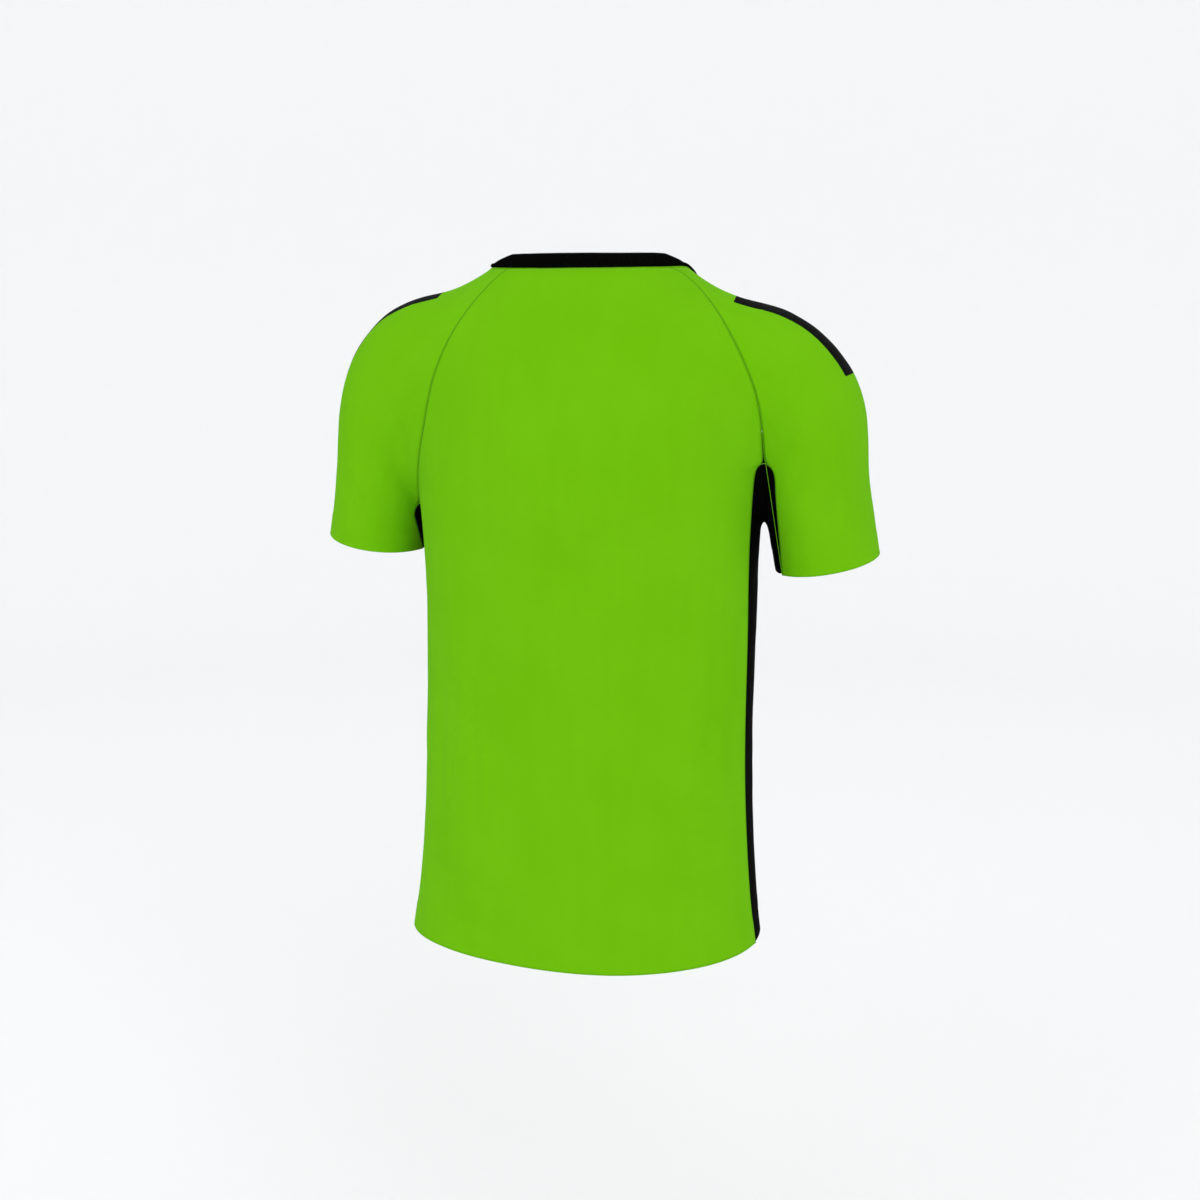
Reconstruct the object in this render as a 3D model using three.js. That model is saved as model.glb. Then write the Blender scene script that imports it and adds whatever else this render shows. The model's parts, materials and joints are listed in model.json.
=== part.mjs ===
// A short-sleeved raglan football jersey, filled out as if it were worn, as the pieces that a maker sews
// together: front, back, two sleeves, two side panels that run on along the underside of the sleeves, and a
// ribbed neck band. Millimetres, +Z up, front towards -Y, the wearer's left towards +X. The origin is the
// middle of the neck opening, at the height where the neck band is sewn on, between the shoulders that hold
// the jersey up.
import * as THREE from "three";

// The cloth and how it is sewn
const CLOTH = 1.6; // wall of knitted polyester with its seams
const SEAM_GAP = 0.3; // air between two neighbouring pieces
const ARMPIT_GAP = 0.9; // the same where four seams meet in the armpit
const LEFT = 1; // the wearer's left side, towards +X
const RIGHT = -1;

// The body, a row for each height. Sway is how far the section's middle sits towards the wearer's left,
// and back is how far it sits towards the back.
const BODY = [
  { z: -760, halfWidth: 183, halfDepth: 123, sway: 5, back: 0 },
  { z: -690, halfWidth: 177, halfDepth: 120, sway: 5, back: 0 },
  { z: -610, halfWidth: 168, halfDepth: 116, sway: 4, back: 0 },
  { z: -500, halfWidth: 163.5, halfDepth: 112, sway: 3, back: 0 },
  { z: -380, halfWidth: 165, halfDepth: 113, sway: 1, back: 0 },
  { z: -290, halfWidth: 168, halfDepth: 116, sway: 0, back: 2 },
  { z: -220, halfWidth: 173, halfDepth: 118, sway: 0, back: 4 },
  { z: -160, halfWidth: 174, halfDepth: 114, sway: 0, back: 5 },
  { z: -110, halfWidth: 160, halfDepth: 105, sway: 0, back: 6 },
  { z: -70, halfWidth: 138, halfDepth: 93, sway: 0, back: 7 },
  { z: -35, halfWidth: 119, halfDepth: 80, sway: 0, back: 7 },
  { z: 0, halfWidth: 90, halfDepth: 68, sway: 0, back: 6 },
  { z: 40, halfWidth: 76, halfDepth: 58, sway: 0, back: 4 },
];
const SQUARENESS = 2.25; // 2 is a plain ellipse

// The arm inside a sleeve, a row for each station from the neck to past the cuff, for the wearer's left.
// Across is half its size from the inside to the outside of the arm, and deep from front to back.
// The right arm hangs further out and lower by its own two columns.
const ARM = [
  { along: 0, x: 50, y: 6, z: -58, across: 47, deep: 58, rightOut: 0, rightDown: 1 },
  { along: 1, x: 112, y: 2, z: -75, across: 49, deep: 62, rightOut: 0, rightDown: 6 },
  { along: 2, x: 175, y: -4, z: -94, across: 57.5, deep: 66, rightOut: 1, rightDown: 9 },
  { along: 3, x: 204, y: -10, z: -139, across: 58, deep: 69, rightOut: 8, rightDown: 5 },
  { along: 4, x: 218, y: -18, z: -212, across: 53, deep: 68, rightOut: 3, rightDown: 6 },
  { along: 5, x: 230.5, y: -26, z: -285, across: 51.5, deep: 65, rightOut: 2, rightDown: 12 },
  { along: 6, x: 244, y: -34, z: -360, across: 51.5, deep: 65, rightOut: 2, rightDown: 16 },
];
const CUFF = { along: 4.97 }; // where along the arm the sleeve ends

// How softly body and arm run into each other, by height
const BLEND = [
  { z: -320, reach: 6 },
  { z: -250, reach: 11 },
  { z: -200, reach: 26 },
  { z: -150, reach: 50 },
  { z: -90, reach: 60 },
  { z: -30, reach: 44 },
  { z: 20, reach: 20 },
];

// Raglan seams, from the neck (0) to the top of the side panel (1): how far along they are sideways, on the
// wearer's left and right, and down. The back sits a little towards the wearer's right.
const RAGLAN_BACK = [
  { left: 0.195, right: 0.253, down: 0.06 },
  { left: 0.485, right: 0.584, down: 0.24 },
  { left: 0.715, right: 0.84, down: 0.48 },
  { left: 0.83, right: 0.973, down: 0.7 },
];
const RAGLAN_FRONT = [
  { left: 0.25, right: 0.25, down: 0.19 },
  { left: 0.52, right: 0.52, down: 0.43 },
  { left: 0.75, right: 0.75, down: 0.67 },
  { left: 0.89, right: 0.89, down: 0.85 },
];
// Where they start, in degrees round the neck from its back
const RAGLAN_NECK = { backLeft: 44, backRight: -56, front: 126 };

// Side panels: where the two seams of each run, front to back, by height on the body, over the top of the
// armpit, and at the cuff. The left one is turned a little further to the front than the right one.
const SIDE_SEAMS = [
  { z: -760, backLeft: 14, frontLeft: -46, backRight: 19, frontRight: -44 },
  { z: -560, backLeft: 16, frontLeft: -50, backRight: 23, frontRight: -46 },
  { z: -380, backLeft: 18, frontLeft: -54, backRight: 28, frontRight: -50 },
  { z: -260, backLeft: 16, frontLeft: -60, backRight: 30, frontRight: -54 },
];
const ARMPIT = [
  { side: LEFT, back: 14, front: -62, cuffBack: -12, cuffFront: -76 },
  { side: RIGHT, back: 40, front: -60, cuffBack: 16, cuffFront: -68 },
];
const ARMPIT_FAN = 13; // how far below its top the turn over the armpit starts

// Folds that the cloth has fallen into, each along a line on the body from a place near its top to one near
// its bottom. Turn is the angle round the body in degrees from the middle of the back, towards the wearer's
// left.
// Rise is how far it stands out, below zero for a hollow, and width is half its width.
const BODY_FOLDS = [
  { turn: 66, z: -300, endTurn: 58, endZ: -610, rise: -2.6, width: 17 },
  { turn: 50, z: -350, endTurn: 40, endZ: -640, rise: 1.8, width: 16 },
  { turn: 30, z: -400, endTurn: 24, endZ: -600, rise: -1.6, width: 22 },
  { turn: 74, z: -590, endTurn: 36, endZ: -625, rise: -2.2, width: 13 },
  { turn: -52, z: -290, endTurn: -44, endZ: -400, rise: -2.4, width: 12 },
  { turn: -62, z: -330, endTurn: -52, endZ: -560, rise: 1.8, width: 15 },
  { turn: -50, z: -430, endTurn: -42, endZ: -520, rise: -1.8, width: 14 },
  { turn: -72, z: -520, endTurn: -38, endZ: -640, rise: -2.6, width: 14 },
  { turn: -64, z: -585, endTurn: -30, endZ: -655, rise: 1.6, width: 12 },
  { turn: -36, z: -285, endTurn: 34, endZ: -300, rise: -1.4, width: 20 },
  { turn: 70, z: -150, endTurn: 40, endZ: -255, rise: -1.6, width: 16 },
  { turn: -70, z: -150, endTurn: -38, endZ: -250, rise: -1.6, width: 16 },
  { turn: 118, z: -300, endTurn: 128, endZ: -600, rise: -2.6, width: 18 },
  { turn: 140, z: -340, endTurn: 148, endZ: -620, rise: 1.7, width: 17 },
  { turn: 112, z: -560, endTurn: 150, endZ: -645, rise: -2.2, width: 14 },
  { turn: -116, z: -290, endTurn: -130, endZ: -470, rise: -2.3, width: 15 },
  { turn: -134, z: -400, endTurn: -146, endZ: -620, rise: 1.8, width: 17 },
  { turn: -112, z: -540, endTurn: -150, endZ: -640, rise: -2.4, width: 14 },
  { turn: 158, z: -250, endTurn: 184, endZ: -300, rise: -1.4, width: 18 },
  { turn: 122, z: -170, endTurn: 150, endZ: -255, rise: -1.7, width: 15 },
  { turn: -122, z: -170, endTurn: -150, endZ: -255, rise: -1.7, width: 15 },
];
// Folds of the sleeves, the same way: turn is round the arm from its outside, towards the back.
const SLEEVE_FOLDS = [
  { side: LEFT, turn: 118, along: 3.2, endTurn: 60, endAlong: 4.4, rise: -1.7, width: 10 },
  { side: LEFT, turn: 20, along: 3.4, endTurn: 30, endAlong: 4.7, rise: -1.3, width: 12 },
  { side: LEFT, turn: -118, along: 3.2, endTurn: -62, endAlong: 4.3, rise: -1.7, width: 11 },
  { side: RIGHT, turn: 122, along: 3.1, endTurn: 70, endAlong: 4.5, rise: -1.8, width: 10 },
  { side: RIGHT, turn: 34, along: 3.3, endTurn: 26, endAlong: 4.6, rise: -1.3, width: 12 },
  { side: RIGHT, turn: -116, along: 3.2, endTurn: -58, endAlong: 4.4, rise: -1.7, width: 11 },
];

// Neck and hem, heights by the angle round the body in degrees from the middle of the back
const NECK = { back: 1, side: -1, front: -76 };
// Lowest is an angle round the body, and leftDown is how far the left side hangs lower than the middle.
const HEM = { back: -668, side: -660, front: -666, lowest: -24, leftDown: 2.5 };

// The neck band, a doubled rib knit: its section round from where it is sewn on, outside first. Out is away
// from the neck and up is towards the opening, both measured on the cloth where the band starts.
const NECK_BAND = [
  { out: 0.7, up: 0.15 },
  { out: 2.1, up: 0.7 },
  { out: 2.7, up: 2.8 },
  { out: 2.0, up: 4.8 },
  { out: -0.4, up: 5.6 },
  { out: -3.2, up: 8.4 },
  { out: -6.2, up: 11.4 },
  { out: -7.9, up: 12.4 },
  { out: -9.1, up: 11.5 },
  { out: -6.0, up: 7.6 },
  { out: -3.0, up: 4.2 },
  { out: -1.2, up: 2.2 },
  { out: -0.8, up: 0.15 },
];

// Grid of each piece: rows along the seams and columns across
const ROWS = { raglan: 18, side: 19, fan: 6, cuff: 6 };
const COLUMNS = { body: 20, sleeve: 16, panel: 6 };

const { degToRad, radToDeg, lerp, clamp, smoothstep } = THREE.MathUtils;

// Reads a table at any value of its first column, on a smooth curve through its rows.
function smoothTable(rows) {
  const [key, ...columns] = Object.keys(rows[0]);
  const places = rows.map((row) => row[key]);
  const values = rows.flatMap((row) => columns.map((name) => row[name]));
  const spline = new THREE.CubicInterpolant(places, values, columns.length, new Array(columns.length));
  return (place) => {
    const read = spline.evaluate(clamp(place, places[0], places.at(-1)));
    return Object.fromEntries(columns.map((name, i) => [name, read[i]]));
  };
}

const bodyAt = smoothTable(BODY);
const armAt = smoothTable(ARM);
const blendAt = smoothTable(BLEND);
const sideSeamsAt = smoothTable(SIDE_SEAMS);

// The middle of an arm's section and its frame, at a station of the arm table.
function armStation(side, along) {
  const s = armAt(along);
  const right = side === RIGHT ? 1 : 0;
  return {
    middle: new THREE.Vector3(side * (s.x + right * s.rightOut), s.y, s.z - right * s.rightDown),
    across: s.across,
    deep: s.deep,
  };
}

// An arm as a chain of stations close together, each with its direction and its outward and backward axes.
const ARM_STEPS = 48;
function armChain(side) {
  const last = ARM.length - 1;
  const stations = Array.from({ length: ARM_STEPS + 1 }, (_, i) => armStation(side, (last * i) / ARM_STEPS));
  return stations.map((station, i) => {
    const before = stations[Math.max(i - 1, 0)].middle;
    const after = stations[Math.min(i + 1, ARM_STEPS)].middle;
    const along = after.clone().sub(before).normalize();
    const backward = new THREE.Vector3(0, 1, 0).addScaledVector(along, -along.y).normalize();
    const outward = new THREE.Vector3().crossVectors(along, backward).multiplyScalar(side);
    return { ...station, along, backward, outward, place: (last * i) / ARM_STEPS };
  });
}
const ARMS = new Map([LEFT, RIGHT].map((side) => [side, armChain(side)]));

// The frame of an arm at any station, between two steps of its chain.
function armFrame(side, place) {
  const chain = ARMS.get(side);
  const at = clamp((place / (ARM.length - 1)) * ARM_STEPS, 0, ARM_STEPS - 1e-6);
  const [a, b, t] = [chain[Math.floor(at)], chain[Math.floor(at) + 1], at % 1];
  const mix = (name) => a[name].clone().lerp(b[name], t);
  return {
    middle: mix("middle"),
    along: mix("along").normalize(),
    backward: mix("backward").normalize(),
    outward: mix("outward").normalize(),
    across: lerp(a.across, b.across, t),
    deep: lerp(a.deep, b.deep, t),
  };
}

// The station of the arm nearest to a point. It runs on in a straight line before the first station.
const reach = new THREE.Vector3();
function nearestStation(side, point) {
  const chain = ARMS.get(side);
  let best = 0;
  let least = Infinity;
  chain.forEach((station, i) => {
    const distance = station.middle.distanceToSquared(point);
    if (distance < least) [least, best] = [distance, i];
  });
  const [before, after] = [chain[Math.max(best - 1, 0)], chain[Math.min(best + 1, ARM_STEPS)]];
  const step = after.middle.distanceTo(before.middle) / 2;
  const shift = reach.copy(point).sub(chain[best].middle).dot(chain[best].along) / step;
  return chain[best].place + (shift * (ARM.length - 1)) / ARM_STEPS;
}

// Distances, below zero inside
const AXIS = 1e-6; // nearer to a middle line than this counts as on it
const power = (value) => Math.abs(value) ** SQUARENESS;
function bodyDistance(x, y, z) {
  const s = bodyAt(z);
  const [u, v] = [x - s.sway, y - s.back];
  const share = (power(u / s.halfWidth) + power(v / s.halfDepth)) ** (1 / SQUARENESS);
  const radius = Math.hypot(u, v);
  return share < AXIS ? -s.halfDepth : radius - radius / share;
}

const BEYOND_ARM = 0.2; // how fast the arm fades out past its first and last stations
const probe = new THREE.Vector3();
function armDistance(side, x, y, z) {
  const place = nearestStation(side, probe.set(x, y, z));
  const frame = armFrame(side, place);
  const arm = probe.set(x, y, z).sub(frame.middle);
  const [u, v, w] = [arm.dot(frame.outward), arm.dot(frame.backward), arm.dot(frame.along)];
  const share = Math.hypot(u / frame.across, v / frame.deep);
  const radius = Math.hypot(u, v);
  const sideways = share < AXIS ? -frame.across : radius - radius / share;
  return {
    distance: Math.abs(w) < 1 ? sideways : sideways + Math.abs(w) * BEYOND_ARM,
    turn: radToDeg(Math.atan2(v, u)),
    place,
  };
}

function softUnion(a, b, softness) {
  const share = Math.max(softness - Math.abs(a - b), 0) / softness;
  return Math.min(a, b) - (share * share * softness) / 4;
}

// How far a fold stands out at a place, both given as millimetres across and along it.
const FOLD_END = 0.3; // share of a fold's length over which it dies away at either end
function foldRise(fold, across, along, ends) {
  const [dx, dz] = [ends.across - ends.startAcross, ends.along - ends.startAlong];
  const length = Math.hypot(dx, dz);
  const [u, v] = [across - ends.startAcross, along - ends.startAlong];
  const share = (u * dx + v * dz) / (length * length);
  if (share < -FOLD_END || share > 1 + FOLD_END) return 0;
  const sideways = (u * dz - v * dx) / length / fold.width;
  const fade = smoothstep(share, -FOLD_END, FOLD_END) * (1 - smoothstep(share, 1 - FOLD_END, 1 + FOLD_END));
  return fold.rise * fade * Math.exp(-sideways * sideways);
}
const MM_A_DEGREE = { body: 2.5, sleeve: 1.05 }; // round the body and round the arm
const MM_A_STATION = 72; // along the arm
const FOLD_REACH = 12; // further than this from the cloth no fold counts
const BODY_TO_SLEEVE = [-10, 14]; // where body folds give way to sleeve folds, by the difference in distance
function bodyFolds(x, y, z) {
  const angle = radToDeg(Math.atan2(x - bodyAt(z).sway, y - bodyAt(z).back));
  let rise = 0;
  for (const fold of BODY_FOLDS) {
    let turn = angle;
    if (turn - fold.turn > 180) turn -= 360;
    if (turn - fold.turn < -180) turn += 360;
    rise += foldRise(fold, turn * MM_A_DEGREE.body, z, {
      startAcross: fold.turn * MM_A_DEGREE.body,
      startAlong: fold.z,
      across: fold.endTurn * MM_A_DEGREE.body,
      along: fold.endZ,
    });
  }
  return rise;
}
function sleeveFolds(side, turn, place) {
  let rise = 0;
  for (const fold of SLEEVE_FOLDS) {
    if (fold.side !== side) continue;
    rise += foldRise(fold, turn * MM_A_DEGREE.sleeve, place * MM_A_STATION, {
      startAcross: fold.turn * MM_A_DEGREE.sleeve,
      startAlong: fold.along * MM_A_STATION,
      across: fold.endTurn * MM_A_DEGREE.sleeve,
      along: fold.endAlong * MM_A_STATION,
    });
  }
  return rise;
}

function garment(x, y, z) {
  const side = x >= 0 ? LEFT : RIGHT;
  const body = bodyDistance(x, y, z);
  const arm = armDistance(side, x, y, z);
  const plain = softUnion(body, arm.distance, blendAt(z).reach);
  if (Math.abs(plain) > FOLD_REACH) return plain;
  const onBody = smoothstep(arm.distance - body, ...BODY_TO_SLEEVE);
  return plain - onBody * bodyFolds(x, y, z) - (1 - onBody) * sleeveFolds(side, arm.turn, arm.place);
}
const garmentAt = (p) => garment(p.x, p.y, p.z);

const SLOPE_REACH = 2.5; // the slope is read over this far either way
function slopeAt(p) {
  const h = SLOPE_REACH;
  return new THREE.Vector3(
    garment(p.x + h, p.y, p.z) - garment(p.x - h, p.y, p.z),
    garment(p.x, p.y + h, p.z) - garment(p.x, p.y - h, p.z),
    garment(p.x, p.y, p.z + h) - garment(p.x, p.y, p.z - h),
  ).divideScalar(2 * h);
}

// The first point on a ray from inside the garment where it comes out.
const RAY = { step: 3, halvings: 24, farthest: 400 };
function castOut(origin, direction) {
  const at = (d) => origin.clone().addScaledVector(direction, d);
  let near = 0;
  while (garmentAt(at(near + RAY.step)) < 0) {
    near += RAY.step;
    if (near > RAY.farthest) throw new Error("a ray never leaves the garment");
  }
  let far = near + RAY.step;
  for (let i = 0; i < RAY.halvings; i++) {
    const middle = (near + far) / 2;
    if (garmentAt(at(middle)) < 0) near = middle;
    else far = middle;
  }
  return at((near + far) / 2);
}

// Angles round the body in degrees from the middle of the back, positive towards the wearer's left
const bodyMiddle = (z) => new THREE.Vector3(bodyAt(z).sway, bodyAt(z).back, z);
const angleOf = (p) => radToDeg(Math.atan2(p.x - bodyAt(p.z).sway, p.y - bodyAt(p.z).back));
const rayAtAngle = (angle) => new THREE.Vector3(Math.sin(degToRad(angle)), Math.cos(degToRad(angle)), 0);

function neckHeight(angle) {
  const a = Math.abs(angle);
  if (a <= 90) return lerp(NECK.back, NECK.side, smoothstep(a, 0, 90));
  const t = (a - 90) / 90;
  return lerp(NECK.side, NECK.front, Math.sin((t * Math.PI) / 2) ** 1.6);
}
function hemHeight(angle) {
  const share = Math.cos(degToRad(angle - HEM.lowest));
  const level = lerp(HEM.side, share > 0 ? HEM.back : HEM.front, share * share);
  return level - HEM.leftDown * Math.sin(degToRad(angle));
}
const neckPoint = (angle) => {
  const z = neckHeight(angle);
  return castOut(bodyMiddle(z), rayAtAngle(angle));
};

// The gap between body and sleeve in the plane of one front-to-back place: where it is widest at a height.
const GAP_SEARCH = { from: 150, to: 215, step: 0.5, lowest: -285, highest: -120 };
function gapAt(side, y, z) {
  let best = { x: 0, open: -Infinity };
  for (let x = GAP_SEARCH.from; x <= GAP_SEARCH.to; x += GAP_SEARCH.step) {
    const open = garment(side * x, y, z);
    if (open > best.open) best = { x: side * x, open };
  }
  return best;
}
function armpitTop(side, y) {
  let [low, high] = [GAP_SEARCH.lowest, GAP_SEARCH.highest];
  for (let i = 0; i < RAY.halvings; i++) {
    const z = (low + high) / 2;
    if (gapAt(side, y, z).open > 0) low = z;
    else high = z;
  }
  return new THREE.Vector3(gapAt(side, y, low).x, y, low);
}

// The cuff is square to the arm.
function cuffFrame(side) {
  return armFrame(side, CUFF.along);
}
function cuffHeight(side, x, y) {
  const { middle, along } = cuffFrame(side);
  return middle.z - ((x - middle.x) * along.x + (y - middle.y) * along.y) / along.z;
}

// A point of the side panel: on the body, round the top of the armpit, or on the underside of the sleeve.
// The rays start well inside the body or in the middle of the arm.
const INSIDE_BODY = 90;
const INSIDE_ARM = 220;
function panelOnBody(side, y, z) {
  return castOut(new THREE.Vector3(side * INSIDE_BODY, y, z), new THREE.Vector3(side, 0, 0));
}
function panelOnSleeve(side, y, z) {
  const arm = armFrame(side, nearestStation(side, new THREE.Vector3(side * INSIDE_ARM, y, z))).middle;
  return castOut(new THREE.Vector3(arm.x, y, z), new THREE.Vector3(-side, 0, 0));
}
const FAN_SAMPLES = 72;
const FAN_STEP = 0.1;
function armpitTurn(side, y) {
  const z = armpitTop(side, y).z - ARMPIT_FAN;
  const start = new THREE.Vector3(gapAt(side, y, z).x, y, z);
  const arc = Array.from({ length: FAN_SAMPLES + 1 }, (_, i) => {
    const turn = Math.PI * (1 - i / FAN_SAMPLES);
    const direction = new THREE.Vector3(side * Math.cos(turn), 0, Math.sin(turn));
    let near = 0;
    while (garmentAt(start.clone().addScaledVector(direction, near)) > 0) near += FAN_STEP;
    return start.clone().addScaledVector(direction, near);
  });
  return evenly(arc, ROWS.fan);
}
// Points spread evenly by length along a chain of points.
function evenly(chain, parts) {
  const lengths = chain.map(() => 0);
  for (let i = 1; i < chain.length; i++) lengths[i] = lengths[i - 1] + chain[i].distanceTo(chain[i - 1]);
  return Array.from({ length: parts + 1 }, (_, k) => {
    const goal = (lengths.at(-1) * k) / parts;
    let i = 1;
    while (i < chain.length - 1 && lengths[i] < goal) i++;
    const step = lengths[i] - lengths[i - 1];
    return chain[i - 1].clone().lerp(chain[i], clamp((goal - lengths[i - 1]) / step, 0, 1));
  });
}

// Rows run from the body's hem up to the armpit and down to the cuff, columns from back seam to front seam.
// From TOWARDS_ARMPIT of the way up, the seams lean over to their places in the armpit.
const TOWARDS_ARMPIT = 0.6;
function seamPlaces(side, z) {
  const read = sideSeamsAt(z);
  return side === LEFT ? [read.backLeft, read.frontLeft] : [read.backRight, read.frontRight];
}
function panelGrid(side) {
  const { side: up, fan, cuff: down } = ROWS;
  const armpit = ARMPIT.find((row) => row.side === side);
  const columns = Array.from({ length: COLUMNS.panel + 1 }, (_, j) => {
    const across = j / COLUMNS.panel;
    const y = lerp(armpit.back, armpit.front, across);
    const turn = armpitTurn(side, y);
    const hemPlace = lerp(...seamPlaces(side, HEM.side), across);
    const hemAngle = side * radToDeg(Math.atan2(bodyAt(HEM.side).halfWidth, hemPlace));
    const onBody = Array.from({ length: up }, (_, i) => {
      const z = lerp(hemHeight(hemAngle), turn[0].z, i / up);
      const leaning = smoothstep(i / up, TOWARDS_ARMPIT, 1);
      return panelOnBody(side, lerp(lerp(...seamPlaces(side, z), across), y, leaning), z);
    });
    const onSleeve = Array.from({ length: down }, (_, i) => {
      const share = (i + 1) / down;
      const target = lerp(y, lerp(armpit.cuffBack, armpit.cuffFront, across), share);
      const inside = cuffFrame(side).middle.x - side * cuffFrame(side).across;
      const end = panelOnSleeve(side, target, cuffHeight(side, inside, target));
      return panelOnSleeve(side, target, lerp(turn[0].z, cuffHeight(side, end.x, end.y), share));
    });
    return [...onBody, ...turn, ...onSleeve];
  });
  return columns[0].map((_, i) => columns.map((column) => column[i]));
}

// The raglan seam on one side, from the neck to the top of the side panel.
function raglanSeam(side, knots, start, armpit, backward) {
  const through = knots.map(({ left, right, down }) => {
    const x = lerp(start.x, armpit.x, side === LEFT ? left : right);
    return new THREE.Vector3(x, 0, lerp(start.z, armpit.z, down));
  });
  const flat = new THREE.CatmullRomCurve3(
    [new THREE.Vector3(start.x, 0, start.z), ...through, new THREE.Vector3(armpit.x, 0, armpit.z)],
    false,
    "centripetal",
  );
  const points = flat.getSpacedPoints(ROWS.raglan).map((p) =>
    castOut(new THREE.Vector3(p.x, 0, p.z), new THREE.Vector3(0, backward, 0)),
  );
  points[0] = start;
  points[ROWS.raglan] = armpit;
  return points;
}

// Fills a grid between its four edges. Each edge point has two coordinates, the inner ones are worked out
// from those of the edges, and place() turns them back into a point on the garment.
function fillGrid(left, right, top, bottom, coordinates, place) {
  const rows = left.length - 1;
  const columns = top.length - 1;
  const [l, r, t, b] = [left, right, top, bottom].map((edge) => edge.map(coordinates));
  const inner = (i, j, k) => {
    const u = j / columns;
    const share = (edgeLength(left, i) + edgeLength(right, i)) / 2;
    const sides = lerp(l[i][k], r[i][k], u);
    const above = t[j][k] - lerp(t[0][k], t[columns][k], u);
    const below = b[j][k] - lerp(b[0][k], b[columns][k], u);
    return sides + lerp(above, below, share);
  };
  return left.map((start, i) =>
    top.map((_, j) => {
      if (j === 0) return start;
      if (j === columns) return right[i];
      if (i === 0) return top[j];
      if (i === rows) return bottom[j];
      return place(inner(i, j, 0), inner(i, j, 1));
    }),
  );
}
// How far along an edge a point lies, from 0 to 1.
function edgeLength(edge, index) {
  let sum = 0;
  let part = 0;
  for (let i = 1; i < edge.length; i++) {
    sum += edge[i].distanceTo(edge[i - 1]);
    if (i === index) part = sum;
  }
  return part / sum;
}

// Front or back: its side edges are the raglan and side seams, in degrees round the body and height.
function bodyPiece(left, right, aboutFront) {
  const wrap = (angle) => (aboutFront && angle < 0 ? angle + 360 : angle);
  const coordinates = (p) => [wrap(angleOf(p)), p.z];
  const [from, to] = [coordinates(left[0])[0], coordinates(right[0])[0]];
  const spread = Array.from({ length: COLUMNS.body + 1 }, (_, j) => j / COLUMNS.body);
  const unwrap = (angle) => (angle > 180 ? angle - 360 : angle);
  const top = spread.map((u) => neckPoint(unwrap(lerp(from, to, u))));
  const [hemFrom, hemTo] = [coordinates(left.at(-1))[0], coordinates(right.at(-1))[0]];
  const bottom = spread.map((u) => {
    const angle = unwrap(lerp(hemFrom, hemTo, u));
    const z = hemHeight(angle);
    return castOut(bodyMiddle(z), rayAtAngle(angle));
  });
  const last = COLUMNS.body;
  [top[0], top[last], bottom[0], bottom[last]] = [left[0], right[0], left.at(-1), right.at(-1)];
  const place = (angle, z) => castOut(bodyMiddle(z), rayAtAngle(angle));
  return fillGrid(left, right, top, bottom, coordinates, place);
}

// A sleeve: each row runs from the back seam over the top of the arm to the front seam.
const FIRST_STATION = 0.75; // where the rows of a sleeve start along the arm, and where the armpit is
const ARMPIT_STATION = 3.3;
const NECK_ROWS = 5; // rows over which the sleeve turns from the line of the neck to that of the arm
function sleevePiece(side, back, front) {
  const half = COLUMNS.sleeve / 2;
  const rows = back.length - 1;
  const neckAngles = [back[0], front[0]].map((p) => angleOf(p));
  const shares = Array.from({ length: 2 * half + 1 }, (_, j) => j / (2 * half));
  const neck = shares.map((share) => neckPoint(lerp(...neckAngles, share)));
  return back.map((start, i) => {
    const place =
      i <= ROWS.raglan
        ? lerp(FIRST_STATION, ARMPIT_STATION, i / ROWS.raglan)
        : lerp(ARMPIT_STATION, CUFF.along, (i - ROWS.raglan) / (rows - ROWS.raglan));
    const frame = armFrame(side, place);
    const reading = (p) => {
      const ray = p.clone().sub(frame.middle).normalize();
      return [Math.atan2(ray.dot(frame.backward), ray.dot(frame.outward)), ray.dot(frame.along)];
    };
    const nearNeck = Math.max(1 - i / NECK_ROWS, 0) ** 2;
    const top = reading(neck[half]).map((value) => value * nearNeck);
    return Array.from({ length: 2 * half + 1 }, (_, j) => {
      if (j === 0) return start;
      if (j === 2 * half) return front[i];
      if (i === 0) return neck[j];
      const from = reading(j <= half ? start : front[i]);
      const share = j <= half ? j / half : (2 * half - j) / half;
      const [turn, tilt] = [lerp(from[0], top[0], share), lerp(from[1], top[1], share)];
      const ray = frame.outward.clone().multiplyScalar(Math.cos(turn));
      ray.addScaledVector(frame.backward, Math.sin(turn)).multiplyScalar(Math.sqrt(1 - tilt * tilt));
      return castOut(frame.middle, ray.addScaledVector(frame.along, tilt));
    });
  });
}

// Draws the edge of a grid in, so that a gap is left at each seam. The armpit is one of its rows.
function drawIn(grid, armpit) {
  const [rows, columns] = [grid.length - 1, grid[0].length - 1];
  return grid.map((row, i) => {
    const sideways = Math.abs(i - armpit) <= 1 ? ARMPIT_GAP / 2 : SEAM_GAP / 2;
    return row.map((point, j) => {
      const moved = point.clone();
      const pull = (to, amount) => moved.addScaledVector(to.clone().sub(point).normalize(), amount);
      if (j === 0) pull(row[1], sideways);
      if (j === columns) pull(row[columns - 1], sideways);
      if (i === 0) pull(grid[1][j], SEAM_GAP / 2);
      if (i === rows) pull(grid[rows - 1][j], SEAM_GAP / 2);
      return moved;
    });
  });
}

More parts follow.
